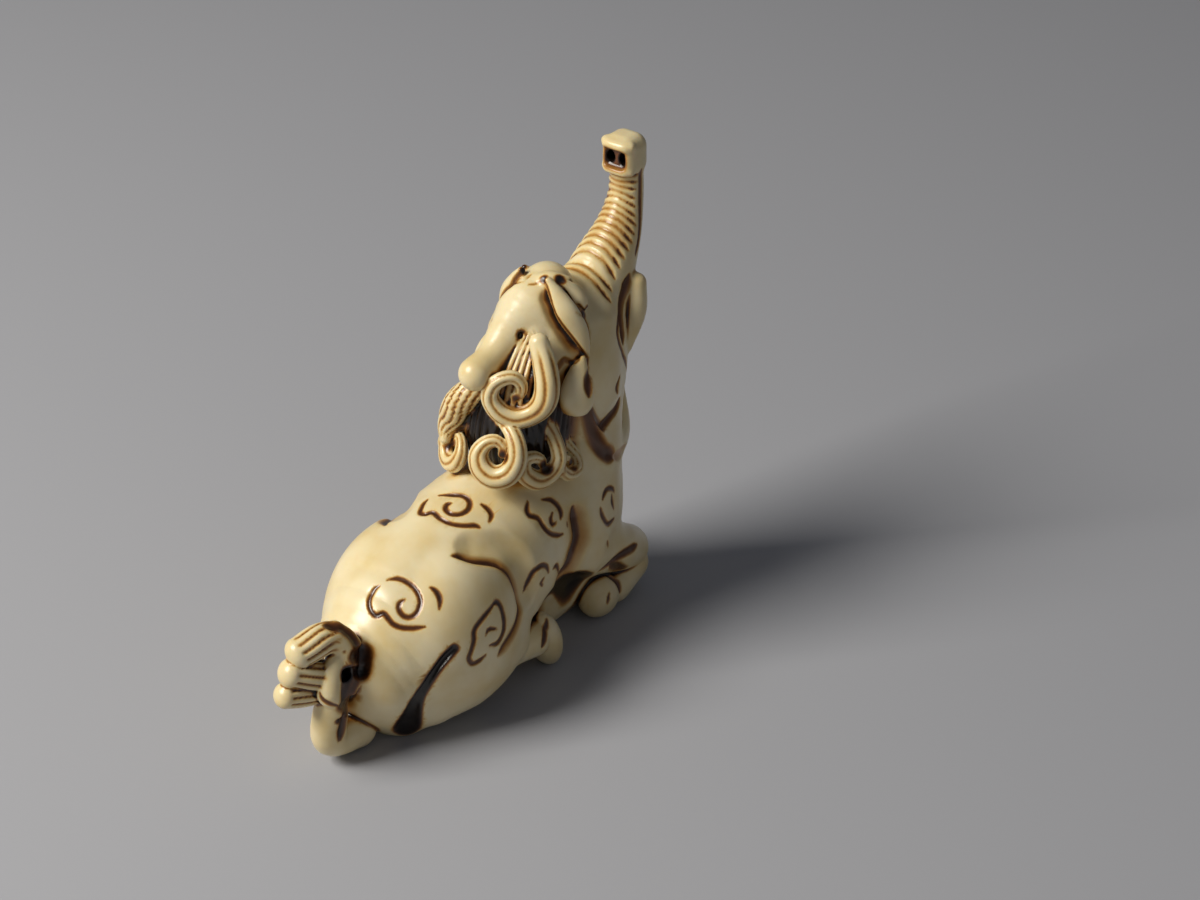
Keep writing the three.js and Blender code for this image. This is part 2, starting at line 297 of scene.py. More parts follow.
def stain_and_shade_patch(clay, centre, radii, dirt):
    """Darkens a soft patch: stain that has soaked in, together with painted shade."""
    cells, places = turned(clay, centre, max(radii), UPRIGHT)
    q = sum((p / r) ** 2 for p, r in zip(places, radii))
    clay.rub(cells, (dirt * np.clip(1 - q, 0, 1)).astype(np.float32))


def mirrored(stations, side):
    """Stations given with y outwards, set on the beast's right (-1) or left (1)."""
    return [(s[0], side * s[1], *s[2:]) for s in stations]


def narrowed(stations, side):
    """Stations of the head, whose left side is carved narrower."""
    return mirrored(stations, side if side < 0 else side * FAR_CHEEK)


# ------------------------------------------------------------------ body and legs


def shape_body(clay):
    torso = [
        (-16.0, 0, 7.0, 5.6, 6.2),
        (-11.5, 0, 8.5, 7.6, 8.3),
        (-5, 0, 10.6, 8.1, 8.4),
        (2.5, 0, 12.4, 7.5, 7.8),
        (8, 0, 11.4, 7.0, 7.8),
        (12.2, 0, 10.4, 6.1, 7.2),
    ]
    belly = [(-14, 0, 3.9, 5.0), (-4, 0, 3.9, 4.6), (6, 0, 3.9, 4.3), (13, 0, 4.4, 4.6)]
    neck = [(8.0, 0, 12, 7.2), (10.8, 0, 17, 6.6), (11.6, 0, 21, 5.6)]
    limb(clay, torso, cap=0.75, steps=20)
    limb(clay, belly, cap=0.6, steps=6, blend=2.0)
    limb(clay, neck, steps=8, blend=2.5)


def shape_hind_leg(clay, side):
    pebble(clay, (-8.2, side * 4.1, 9.6), (7.8, 5.0, 8.0), (side * 6, 22, 0), blend=0.8)
    shin = [(-4.0, 5.2, 6.0, 2.8), (-8.0, 4.9, 4.0, 2.6), (-12.2, 4.2, 3.3, 2.2)]
    limb(clay, mirrored(shin, side), blend=1.2)
    foot = [(-5.5, 4.8, 4.6, 2.4), (-2.6, 5.4, 4.6, 2.1), (-0.2, 5.9, 4.2, 1.9)]
    limb(clay, mirrored(foot, side), blend=0.3)
    pebble(clay, (1.7, side * 6.1, 3.2), (1.6, 1.8, 3.3), (0, -14, 0), blend=0.1)


def shape_fore_leg(clay, side):
    upper_arm = [(9.6, 4.6, 14.6, 1.9), (9.0, 5.3, 11.4, 2.1), (8.2, 5.4, 9.4, 1.9)]
    limb(clay, mirrored(upper_arm, side), blend=1.0)
    fore_arm = [(9.0, 5.0, 9.0, 2.2), (13.4, 4.8, 7.0, 2.5), (17.0, 4.1, 4.8, 2.3)]
    limb(clay, mirrored(fore_arm, side), blend=1.2)
    limb(clay, mirrored([(17.2, 4.2, 3.0, 2.1), (14.0, 4.8, 2.2, 1.9)], side), blend=0.2)
    pebble(clay, (11.6, side * 4.9, 2.3), (2.4, 1.9, 2.3), blend=0.1)


def score_body(clay):
    """Hollows and lines that part the thighs, hooves and arms from the flanks."""
    thigh = [
        (-8.8, 4.1, 17.5), (-7.2, 5.4, 17.0), (-5.5, 6.3, 16.1), (-4.8, 6.9, 15.3), (-4.4, 7.4, 14.3),
        (-4.3, 7.8, 13.2), (-4.3, 8.2, 11.9), (-4.6, 8.4, 11.0), (-5.5, 8.8, 10.0), (-7.2, 9.1, 9.2),
        (-8.6, 9.1, 8.5),
    ]
    before_thigh = [(x + 1.3, y, z + 0.6) for x, y, z in thigh[:8]]
    heel_slit = [
        (-13.2, 7.8, 11.2, 0.3), (-14.0, 7.3, 10.4, 0.34), (-14.9, 6.8, 9.2, 0.3),
        (-15.7, 6.2, 7.6, 0.35),
        (-16.2, 5.7, 6.2, 0.55), (-16.4, 5.2, 4.4, 0.9), (-16.3, 4.6, 2.0, 1.3), (-16.2, 4.6, -0.5, 1.6),
    ]
    under_shank = [
        (-9.5, 7.6, 0.8, 0.6), (-7.0, 7.8, 1.6, 1.3), (-4.0, 8.0, 1.4, 1.9), (-0.8, 8.2, 1.0, 1.6),
    ]
    armpit = [
        (5.6, 7.0, 16.2), (5.5, 7.4, 14.7), (5.3, 7.7, 13.4), (4.6, 7.7, 12.0), (4.0, 7.5, 10.6),
        (2.6, 7.3, 9.6),
    ]
    under_belly = [(1.5, 7.6, 7.6, 1.2), (4.0, 7.6, 7.6, 1.9), (6.8, 6.8, 5.2, 2.3), (7.2, 6.6, 1.5, 2.0)]
    small_lines = [  # points, width, depth, dirt
        ([(1.1, 7.0, 6.2), (0.0, 7.6, 5.1), (-0.7, 7.7, 4.2)], 0.6, 0.4, 1.0),  # behind the hoof
        ([(9.0, 6.9, 7.3), (11.9, 7.3, 7.7), (15.2, 6.9, 7.1)], 0.8, 0.6, 1.0),  # fold of the forearm
        ([(10.8, 7.2, 7.2), (12.7, 6.5, 5.6), (13.9, 6.2, 4.4)], 1.2, 0.9, 1.0),
        ([(12.1, 5.3, 4.5), (12.9, 6.0, 3.7), (13.0, 6.4, 2.4)], 0.7, 0.5, 1.0),  # round the paw
        ([(11.2, 6.5, 3.4), (10.7, 6.7, 2.3)], 0.4, 0.3, 1.0),  # toe
        ([(9.4, 7.8, 11.0), (9.7, 7.6, 10.0)], 0.35, 0.3, 0.8),  # nicks
        ([(4.5, 7.0, 15.5), (4.3, 7.2, 15.0)], 0.35, 0.3, 0.8),
    ]
    for side in SIDES:
        groove(clay, mirrored(before_thigh, side), width=3.4, depth=0.7, dirt=0.1)
        groove(clay, mirrored(thigh, side), width=1.3, depth=0.3, dirt=0.4)
        groove(clay, mirrored(thigh, side), width=0.45, depth=0.25, dirt=0.85)
        groove(clay, mirrored(thigh[:4], side), width=0.9, depth=0.25, dirt=0.75)
        limb(clay, mirrored(heel_slit, side), steps=18, blend=0.25, carve=True, dirt=1.0)
        limb(clay, mirrored(under_shank, side), blend=0.3, carve=True, dirt=1.0)
        limb(clay, mirrored(under_belly, side), blend=0.6, carve=True, dirt=1.0)
        groove(clay, mirrored(armpit, side), width=2.6, depth=0.6, dirt=0.35)
        groove(clay, mirrored(armpit, side), width=0.9, depth=0.9)
        for points, width, depth, dirt in small_lines:
            groove(clay, mirrored(points, side), width, depth, dirt)


# ------------------------------------------------------------------ head


def shape_skull(clay):
    cranium = [
        (9.8, 0, 25.0, 5.2, 4.8),
        (9.0, 0, 29.6, 5.3, 4.9),
        (9.4, 0, 33.6, 4.1, 3.8),
        (10.2, 0, 35.6, 2.5, 2.5),
    ]
    face = [
        (13.2, 0, 21.0, 4.8, 5.2),
        (13.4, 0, 26.0, 5.4, 5.7),
        (14.0, 0, 29.8, 4.9, 5.3),
        (15.4, 0, 32.2, 3.6, 3.8),
    ]
    limb(clay, cranium, blend=1.5)
    limb(clay, face, blend=1.5)
    horn = [(7.6, 0.2, 34.4, 2.6), (4.6, 0.2, 33.0, 1.9), (2.2, 0.2, 31.7, 1.45), (0.0, 0.2, 31.0, 1.6)]
    limb(clay, horn, steps=16, blend=1.2)
    brow_right = [(8.7, -0.3, 36.8, 0.9), (9.0, -1.4, 37.1, 1.1), (9.8, -2.3, 36.9, 0.9)]
    brow_left = [(8.5, 1.2, 36.3, 0.8), (8.8, 1.9, 35.9, 0.8)]
    limb(clay, brow_right, across=(1, 0, 0), blend=0.3)
    limb(clay, brow_left, across=(1, 0, 0), blend=0.3)


def shape_face(clay, side):
    cheek = [(13.0, 3.4, 32.0, 1.4, 2.4), (12.2, 4.6, 28.0, 1.2, 2.4), (12.6, 4.7, 24.6, 1.1, 1.9)]
    limb(clay, narrowed(cheek, side), blend=0.8)
    tusk = [(17.2, 3.4, 27.6, 1.0), (18.8, 3.6, 30.6, 1.15), (19.6, 3.2, 33.2, 1.0)]
    limb(clay, narrowed(tusk, side), blend=0.3)
    jaw = [
        (9.0, 5.2, 26.0, 0.6),
        (9.9, 5.3, 23.0, 0.9),
        (11.6, 4.9, 19.9, 1.2),
        (13.8, 4.2, 17.8, 1.5),
        (17.2, 2.8, 18.2, 1.3),
        (19.2, 0.8, 21.6, 1.0),
    ]
    limb(clay, narrowed(jaw, side), across=(0, 0, 1), blend=0.3, steps=24)


def shape_leaves(clay, side):
    """The two pointed folds beside the eye, and the ear below them."""

    def leaf(stations, **made):
        limb(clay, narrowed(stations, side), **made)

    socket = [(9.2, 3.2, 37.4, 0.6), (10.2, 4.2, 35.9, 1.0), (10.6, 5.0, 34.2, 0.6)]
    leaf(socket, blend=0.4, carve=True, dirt=0.5)
    beside_fold = [(7.6, 1.9, 37.0), (7.3, 3.1, 35.4), (7.6, 4.2, 33.4), (8.4, 5.3, 31.4)]
    groove(clay, narrowed(beside_fold, side), width=1.6, depth=0.45, dirt=0.3)
    fold = [
        (8.1, 1.8, 37.8, 0.4, 0.4), (8.1, 2.8, 36.7, 0.8, 0.6), (8.1, 4.0, 35.2, 1.1, 0.7),
        (8.6, 4.9, 33.4, 0.95, 0.65), (9.0, 5.3, 31.8, 0.55, 0.5), (9.5, 5.3, 30.5, 0.2, 0.25),
    ]
    leaf(fold, across=(0.8, side * 0.5, 0.35), blend=0.1, steps=24)
    eyelid = [
        (9.4, 2.7, 37.4, 0.3, 0.3), (10.0, 3.2, 36.6, 0.6, 0.5), (10.3, 3.8, 35.6, 0.65, 0.5),
        (10.6, 4.2, 34.6, 0.3, 0.3),
    ]
    leaf(eyelid, across=(0.8, side * 0.5, 0.35), blend=0.1, steps=12)
    ear = [
        (8.8, 5.3, 30.8, 0.25, 0.4), (7.6, 5.8, 30.0, 0.9, 0.8), (6.7, 6.3, 28.8, 1.5, 0.9),
        (6.3, 6.5, 27.4, 1.6, 0.9), (6.2, 6.4, 26.6, 1.3, 0.8),
    ]
    leaf(ear, across=(0.8, side * 0.6, 0), blend=0.12, steps=16, cap=0.5)


def score_face(clay, side):
    """Lines that part the folds, cheek, jaw and lips, and the pits of the eye."""

    def line(points, **cut):
        groove(clay, narrowed(points, side), **cut)

    fold_edge = [
        (8.0, 1.2, 38.0), (7.4, 2.0, 37.2), (7.2, 2.8, 35.9), (7.3, 3.8, 34.6), (7.8, 4.7, 33.0),
        (8.4, 5.2, 31.6),
        (9.3, 5.4, 30.4),
    ]
    line(fold_edge, width=0.55, depth=0.4, dirt=0.8)
    far_edge = [
        (8.7, 2.2, 38.0), (9.0, 3.2, 37.0), (9.4, 4.2, 35.6), (10.1, 4.5, 34.0), (10.2, 4.7, 32.3),
        (9.5, 5.4, 30.8),
    ]
    line(far_edge, width=0.4, depth=0.35, dirt=0.85)
    line([(8.4, 4.6, 35.4), (9.4, 5.1, 33.6), (9.5, 5.2, 32.0)], width=0.3, depth=0.15, dirt=0.4)
    line([(9.9, 2.8, 37.5), (10.8, 3.5, 36.1), (11.0, 4.2, 34.6)], width=0.4, depth=0.4, dirt=0.8)
    cheek_line = [
        (10.6, 4.3, 34.3), (10.5, 4.6, 32.6), (9.6, 5.2, 30.3), (9.3, 5.4, 28.6), (9.4, 5.8, 26.7),
        (9.7, 6.2, 25.1),
        (10.7, 6.3, 23.3), (11.5, 6.3, 22.4), (12.8, 6.2, 22.6), (13.9, 6.0, 22.8), (14.8, 5.7, 23.4),
    ]
    line(cheek_line[:5], width=0.35, depth=0.25, dirt=0.85)
    line(cheek_line[3:], width=0.9, depth=0.75, dirt=1.0)
    jaw_edge = [
        (9.0, 5.6, 26.4), (8.9, 5.8, 24.6), (9.5, 6.0, 22.2), (10.7, 6.1, 20.0), (12.1, 6.0, 18.5),
        (13.8, 5.5, 17.9),
        (16.0, 4.2, 17.4),
    ]
    line(jaw_edge[:5], width=1.5, depth=1.0, dirt=0.9)
    line(jaw_edge[4:], width=1.0, depth=0.5, dirt=0.4)
    lip_line = [
        (17.8, 3.4, 33.8), (16.7, 3.6, 32.7), (14.5, 4.8, 30.9), (14.8, 5.1, 28.7), (16.6, 4.6, 25.5),
    ]
    line(lip_line, width=0.45, depth=0.35, dirt=0.95)
    line([(18.6, 3.2, 34.4), (16.9, 3.6, 32.6), (15.7, 4.4, 31.2), (15.4, 4.9, 29.1)], width=1.0, depth=1.0)
    line([(14.0, 5.6, 26.4), (13.4, 5.8, 25.6), (13.5, 5.9, 24.8)], width=0.6, depth=0.8)
    line([(7.9, 6.2, 30.0), (7.2, 7.0, 29.2), (6.9, 7.3, 28.2)], width=0.9, depth=1.0)
    above_ear = [(5.7, 4.4, 29.8), (6.4, 4.5, 30.6), (6.9, 5.3, 31.3), (9.3, 5.2, 30.4)]
    line(above_ear, width=0.5, depth=0.3, dirt=0.55)
    pits = [(9.0, 2.6, 38.0, 0.33), (10.7, 4.4, 34.3, 0.4), (8.0, 1.3, 38.0, 0.2)]
    for x, y, z, r in narrowed(pits, side):
        pebble(clay, (x, y, z), (r, r, r * 1.3), blend=0.1, carve=True, dirt=1.0)


def score_skull(clay):
    for side in SIDES:
        slit = [
            (4.4, 1.6, 33.7, 0.3), (4.5, 1.7, 32.9, 0.45), (3.9, 1.7, 32.0, 0.42), (3.2, 1.6, 31.1, 0.42),
            (2.2, 1.4, 30.4, 0.42), (0.7, 1.4, 30.0, 0.4),
        ]
        limb(clay, mirrored(slit, side), steps=16, blend=0.15, carve=True, dirt=1.0)
    groove(clay, [(7.1, 0.0, 37.3), (7.5, -0.7, 37.6), (7.9, -1.2, 37.9)], width=0.3, depth=0.2, dirt=0.6)
    groove(clay, [(7.5, 2.0, 36.6), (7.2, 1.2, 36.9), (7.4, 0.4, 37.3)], width=0.3, depth=0.2, dirt=0.5)
    groove(clay, [(7.6, 0.5, 37.2), (8.6, 0.5, 37.8)], width=0.35, depth=0.3, dirt=0.5)


def shape_mouth(clay):
    limb(clay, [(18.2, 0, 21.6, 1.6), (19.6, 0, 24.2, 1.2), (20.6, 0, 26.4, 0.5)], blend=0.8)
    pebble(clay, (19.6, 0, 28.4), (1.6, 1.9, 2.2), blend=0.3, carve=True)


# ------------------------------------------------------------------ trunk


def shape_trunk(clay):
    tube = [
        (16.6, 0, 31.0, 3.6),
        (18.2, 0, 33.8, 3.2),
        (20.7, 0, 37.2, 2.35),
        (22.0, 0, 40.4, 1.75),
        (22.1, 0, 43.0, 1.65),
        (21.8, 0, 44.6, 1.6),
    ]
    limb(clay, tube, steps=40, blend=0.5)
    block(clay, (21.9, 0, 45.0), (1.8, 1.85, 2.0), 1.3, blend=0.6)
    for high, half in ((46.25, 0.5), (43.7, 0.42)):
        lip = [(x, y, high, half) for x, y in ((20.9, 1.4), (20.5, 0.8), (20.5, -0.8), (20.9, -1.4))]
        limb(clay, lip, across=(1, 0, 0), blend=0.3)
    block(clay, (19.9, 0, 44.95), (0.75, 1.2, 0.95), 0.4, blend=0.25, carve=True, dirt=0.35)
    for side in SIDES:
        hole = [(21.8, side * 0.68, 44.9, 0.4, 0.58), (19.4, side * 0.68, 44.9, 0.4, 0.58)]
        limb(clay, hole, blend=0.1, carve=True, dirt=1.0)


def score_trunk(clay):
    """Rings over the back of the trunk only: its underside is smooth."""
    for side in SIDES:
        edge = [
            (22.1, 1.7, 43.8), (22.2, 1.7, 42.0), (22.0, 1.9, 40.0), (21.6, 2.2, 38.2), (21.0, 2.5, 36.7),
            (20.1, 2.8, 35.7),
        ]
        groove(clay, mirrored(edge, side), width=0.5, depth=0.3, dirt=0.9)
    rings = [  # flank x, flank z, how steeply the ring climbs towards the back, radius
        (22.0, 43.3, -6, 1.7), (21.8, 42.5, 3, 1.6), (21.6, 41.7, 14, 1.6), (21.5, 40.8, 28, 1.7),
        (21.4, 40.0, 40, 1.8),
        (21.2, 39.1, 48, 1.9), (21.0, 38.3, 54, 2.0), (20.5, 37.6, 60, 2.2), (20.0, 36.9, 64, 2.4),
        (19.3, 36.4, 67, 2.5), (18.5, 35.9, 70, 2.7), (17.7, 35.3, 73, 2.8), (16.8, 34.6, 76, 2.9),
        (15.9, 33.7, 78, 3.1), (15.0, 32.8, 80, 3.3),
    ]
    for x, z, climb, radius in rings:
        climb = math.radians(climb)
        ring = []
        for angle in np.radians(np.linspace(-88, 88, 15)):
            back = radius * math.cos(angle) * 0.95
            ring.append((x - back * math.cos(climb), radius * math.sin(angle), z + back * math.sin(climb)))
        groove(clay, ring, width=0.8, depth=0.2, dirt=0.15)
        groove(clay, ring, width=0.26, depth=0.12, dirt=0.45)
        for side in SIDES:
            end = ring[:4] if side < 0 else ring[-4:]
            groove(clay, end, width=0.3, depth=0.1, dirt=0.95)


# ------------------------------------------------------------------ mane


LOCK_LIFT = 0.6  # outwards from the middle point of the curl
LOCK_SINK = 0.04  # lower at each station, so the inner end lies under the rim
ROOT_SINK = 2.4  # the root runs back into the mane
ROOT_STATIONS = 2.5  # over this many stations
LOCK_FULLNESS = 1.2  # of the widths that the paths give


def curl(clay, at, azimuth, tilt, path, hand=1):
    """A lock wound up in a flat spiral that looks away from the neck.

    The path gives places across and up from the middle, and half the lock's width there."""
    a, e = math.radians(azimuth), math.radians(tilt)
    out = np.array([-math.cos(a) * math.cos(e), -math.sin(a) * math.cos(e), math.sin(e)])
    right = np.array([math.sin(a), -math.cos(a), 0]) * hand
    up = np.cross(out, right) * hand
    stations = []
    for i, (across, high, half) in enumerate(path):
        lift = LOCK_LIFT - LOCK_SINK * i - ROOT_SINK * max(0, 1 - i / ROOT_STATIONS)
        half = half * LOCK_FULLNESS
        place = np.array(at) + right * across + up * high + out * lift
        stations.append((*place, half, half * 0.95 + 0.1))
    limb(clay, stations, across=out, steps=48, blend=0.05, strands=6, strand_depth=0.16, dirt=0.55)
    x, y, z = np.array(at) + right * path[-1][0] + up * path[-1][1] + out * 1.0
    pebble(clay, (x, y, z), (0.45, 0.45, 0.5), blend=0.2, carve=True, dirt=1.0)


def shape_mane(clay):
    """Hair cut in fine strands and darkened by stain and painted shade, with wound locks lying over it."""
    base = [(7.4, 0, 20.8, 4.3), (5.6, 0, 22.8, 5.1), (6.4, 0, 26.0, 4.8), (8.0, 0, 30.0, 3.6)]
    limb(clay, base, blend=0.5, strands=34, strand_depth=0.35, dirt=1.0, steps=20)
    behind_curl = [
        (6.0, -1.8, 33.0, 1.2), (4.4, -1.9, 30.6, 2.1), (3.4, -1.8, 28.0, 2.5), (3.8, -1.4, 24.6, 3.0),
    ]
    limb(clay, behind_curl, blend=0.4, strands=22, strand_depth=0.35, dirt=1.0, steps=20)
    # painted shade and stain: the hair round the neck, under the jaw and ears, is darkened as a whole
    # before the locks are laid over it
    stain_and_shade_patch(clay, (4.2, 0, 24.0), (6.5, 8.0, 6.4), 1.6)
    first = [
        (2.2, 5.6, 0.7), (2.7, 4.0, 0.87), (2.95, 2.3, 0.92), (2.7, 0.8, 0.92), (1.8, -0.37, 0.87),
        (0.14, -1.0, 0.87),
        (-1.4, -0.4, 0.78), (-2.27, 1.0, 0.63), (-1.97, 2.3, 0.58), (-1.06, 3.0, 0.53),
        (-0.06, 3.1, 0.49),
        (0.56, 2.4, 0.44), (0.54, 1.44, 0.34), (0.0, 1.0, 0.29),
    ]
    second = [
        (-1.1, 4.15, 0.49), (0.1, 3.3, 0.58), (1.2, 2.3, 0.63), (1.8, 1.1, 0.68), (1.76, -0.3, 0.78),
        (1.0, -1.6, 0.87),
        (-0.3, -2.0, 0.87), (-1.46, -1.25, 0.83), (-1.8, 0.0, 0.68), (-1.2, 1.05, 0.53),
        (-0.27, 1.4, 0.44),
        (0.4, 0.9, 0.34), (0.44, 0.16, 0.29),
    ]
    third = [
        (0.96, 3.64, 0.58), (1.44, 2.3, 0.58), (1.7, 0.8, 0.53), (1.63, -0.8, 0.58), (0.74, -1.94, 0.68),
        (-0.8, -2.26, 0.73), (-2.07, -1.16, 0.68), (-1.94, 0.0, 0.53), (-0.96, 0.1, 0.44),
        (-0.16, -0.44, 0.34),
        (0.0, -1.0, 0.24),
    ]
    fourth = [
        (0.76, 2.2, 0.39), (1.4, 0.3, 0.39), (1.58, -1.2, 0.39), (0.8, -2.06, 0.44), (-0.8, -1.84, 0.44),
        (-1.78, -0.68, 0.39), (-1.41, 0.08, 0.34), (-0.4, -0.24, 0.24), (0.0, -0.97, 0.19),
    ]
    for side in SIDES:
        curl(clay, (5.8, side * 5.6, 21.9), -side * 98, 8, fourth, hand=-side)
        curl(clay, (2.9, side * 4.9, 22.9), -side * 70, 10, third, hand=-side)
    curl(clay, (-0.6, -2.8, 23.7), 28, 18, second)
    curl(clay, (1.7, -3.0, 28.0), 38, 0, first)
    small = [(a * 0.78, b * 0.78, c * 0.8) for a, b, c in second]
    curl(clay, (0.4, 3.0, 21.9), -28, 18, small, hand=-1)
    tuft = [
        (3.4, 0.6, 29.4, 1.0), (1.9, 1.9, 28.0, 1.3), (1.0, 3.1, 26.5, 1.4), (1.0, 4.0, 24.8, 1.3),
        (0.6, 4.4, 23.4, 0.9),
        (0.0, 4.2, 22.6, 0.5),
    ]
    limb(clay, tuft, across=(0.4, -0.8, 0.4), blend=0.2, strands=11, steps=24)


# ------------------------------------------------------------------ tail


def shape_tail(clay):
    root = [(-16.4, 0, 11.0, 2.2), (-18.8, 0, 10.2, 1.8), (-20.4, 0, 10.2, 1.0)]
    limb(clay, root, blend=0.8)
    stem = [
        (-18.4, 0, 1.8, 1.9),
        (-21.8, 0, 2.8, 1.7),
        (-22.0, -0.7, 6.8, 1.6),
        (-20.6, -1.2, 9.8, 1.5),
        (-20.2, -1.0, 12.4, 1.5),
        (-21.6, -0.2, 14.0, 1.4),
        (-24.2, 0.8, 13.6, 1.2),
    ]
    limb(clay, stem, steps=30, blend=0.3)
    inner = [
        (-21.0, -0.9, 12.4, 0.9), (-22.2, -1.1, 10.8, 1.0), (-22.8, -1.3, 9.2, 1.25),
        (-22.2, -1.6, 8.0, 1.0),
    ]
    limb(clay, inner, blend=0.15)
    across = (0.3, -0.8, 0.5)
    upper = [(-20.8, -0.5, 14.0, 1.2), (-22.4, 0.1, 13.9, 1.5), (-24.2, 0.8, 13.3, 1.4)]
    middle = [(-21.4, -0.2, 9.6, 1.2), (-23.2, 0.2, 10.6, 1.5), (-25.2, 1.0, 11.6, 1.3)]
    lower = [(-22.4, 0.2, 8.2, 1.0), (-24.2, 0.7, 8.9, 1.25), (-25.9, 1.2, 9.4, 1.15)]
    for tuft in (lower, middle, upper):
        limb(clay, tuft, across=across, blend=0.1, strands=11, strand_depth=0.25, steps=12, cap=0.8)
    beside = [
        (-22.4, -1.8, 3.7), (-21.9, -2.2, 5.9), (-21.3, -2.5, 8.0), (-20.3, -2.7, 9.8),
        (-19.6, -2.6, 11.0),
        (-19.8, -2.4, 12.9), (-20.1, -1.8, 14.4), (-20.8, -1.1, 15.3), (-21.8, -0.3, 15.5),
    ]
    groove(clay, beside, width=1.1, depth=0.8)
    groove(clay, beside[1:6], width=1.6, depth=1.0)
    groove(clay, mirrored(beside[:6], -1), width=1.0, depth=0.8)
    hole = [(-21.6, -3.2, 11.6, 0.3), (-21.3, -2.2, 10.6, 0.6), (-21.0, -1.2, 9.8, 0.5)]
    limb(clay, hole, blend=0.15, carve=True, dirt=1.0)
    under_lobe = [(-24.0, -1.2, 9.7), (-24.0, -1.6, 9.1), (-23.6, -2.2, 8.6), (-22.8, -2.5, 8.1)]
    groove(clay, under_lobe, width=0.45, depth=0.4)
    groove(clay, [(-21.3, -2.0, 13.1), (-21.3, -2.0, 12.9)], width=0.35, dirt=0.6)


# ------------------------------------------------------------------ engraved clouds


CLOUD_DEPTH = 0.28


def engrave_clouds(clay):
    """Curling cloud marks, cut and blackened: strokes over, under and beside each curl.

    The mark on the hip is on the right side alone, and the back has one."""
    hip = [
        [(-14.8, 0.6, 16.1), (-15.3, 0.3, 15.7), (-16.1, 0.4, 15.1), (-16.7, 1.0, 14.6),
         (-16.8, 1.8, 14.3),
         (-16.3, 2.2, 14.5), (-16.3, 2.8, 14.2), (-16.3, 3.4, 13.8), (-15.9, 4.1, 13.5),
         (-15.2, 4.9, 13.4),
         (-14.5, 5.6, 13.5)],
        [(-14.1, 0.8, 16.3), (-13.5, 1.6, 16.5), (-13.2, 2.7, 16.2), (-13.3, 3.7, 15.8),
         (-13.7, 4.4, 15.2),
         (-14.4, 4.6, 14.6), (-14.9, 4.3, 14.2), (-15.3, 3.8, 14.3), (-15.3, 3.2, 14.8),
         (-14.9, 3.0, 15.2),
         (-14.4, 3.2, 15.4)],
        [(-12.4, 4.4, 16.2), (-12.3, 5.1, 15.9), (-12.5, 5.7, 15.4), (-13.0, 6.0, 14.7)],
    ]
    thigh = [
        [(-8.0, 8.2, 13.5), (-9.6, 8.3, 13.0), (-10.9, 8.3, 12.3), (-11.2, 8.5, 11.4), (-11.7, 8.5, 10.4),
         (-12.0, 8.5, 9.8), (-11.7, 8.6, 9.1), (-11.0, 8.8, 9.1), (-10.2, 9.0, 9.4)],
        [(-8.3, 8.2, 13.5), (-7.6, 8.2, 13.5), (-7.3, 8.5, 12.8), (-7.4, 8.8, 11.4), (-7.8, 9.0, 10.5),
         (-8.7, 9.1, 9.9), (-9.7, 9.0, 10.2)],
        [(-9.9, 8.8, 11.3), (-9.4, 8.7, 11.7), (-8.5, 8.9, 11.3)],
    ]
    shoulder = [
        [(1.3, 4.6, 18.4), (0.6, 5.1, 18.0), (0.5, 5.5, 17.6), (1.2, 5.9, 17.1), (1.3, 6.4, 16.4),
         (1.7, 6.8, 15.6),
         (2.5, 7.1, 15.0), (3.4, 7.2, 14.7)],
        [(2.7, 5.2, 18.1), (3.6, 5.5, 17.8), (4.0, 6.1, 17.2), (4.0, 6.5, 16.5), (3.6, 6.7, 16.0)],
        [(3.1, 6.2, 16.9), (2.5, 6.4, 16.5), (2.5, 6.7, 16.0), (3.1, 6.7, 16.1)],
    ]
    belly = [
        [(-2.9, 8.0, 11.9), (-2.3, 7.9, 12.7), (-1.6, 7.7, 13.3), (-0.5, 7.6, 13.4), (0.3, 7.7, 12.9),
         (0.5, 7.7, 12.1)],
        [(1.2, 7.6, 12.1), (1.9, 7.6, 12.1), (2.3, 7.5, 11.0)],
        [(-0.1, 7.8, 12.0), (-0.8, 7.8, 11.7), (-0.5, 7.8, 11.2)],
    ]
    chest = [
        [(9.4, 7.3, 15.5), (9.8, 7.3, 15.9), (10.5, 7.2, 16.1), (11.4, 7.1, 15.6), (11.7, 7.1, 15.1)],
        [(11.1, 7.2, 15.2), (11.0, 7.3, 14.4), (11.3, 7.3, 13.4)],
        [(8.9, 7.5, 14.9), (8.9, 7.6, 14.2), (9.2, 7.7, 13.4), (9.7, 7.7, 12.7), (10.5, 7.5, 12.5),
         (11.4, 7.2, 12.3)],
    ]
    back = [
        [(-4.6, -2.5, 18.9), (-5.4, -2.4, 18.7), (-6.5, -1.8, 18.6), (-6.6, -1.1, 18.8),
         (-6.1, -0.6, 18.9),
         (-6.4, 0.5, 18.9), (-6.3, 1.6, 18.7), (-5.7, 2.6, 18.5), (-4.8, 3.4, 18.4), (-4.6, 3.8, 18.2)],
        [(-3.9, -1.8, 19.2), (-3.4, -0.5, 19.5), (-3.0, 0.5, 19.5), (-3.2, 1.4, 19.4), (-4.0, 1.9, 19.2),
         (-4.9, 1.7, 19.0), (-5.4, 1.0, 19.0), (-5.2, 0.2, 19.1), (-4.6, -0.1, 19.3), (-4.3, 0.2, 19.3)],
        [(-2.7, 2.3, 19.3), (-2.6, 3.0, 19.0), (-2.8, 3.7, 18.6), (-3.6, 4.0, 18.3)],
    ]
    for stroke in back + hip:
        groove(clay, mirrored(stroke, -1), depth=CLOUD_DEPTH)
    for stroke in thigh + shoulder + belly + chest:
        for side in SIDES:
            groove(clay, mirrored(stroke, side), depth=CLOUD_DEPTH)


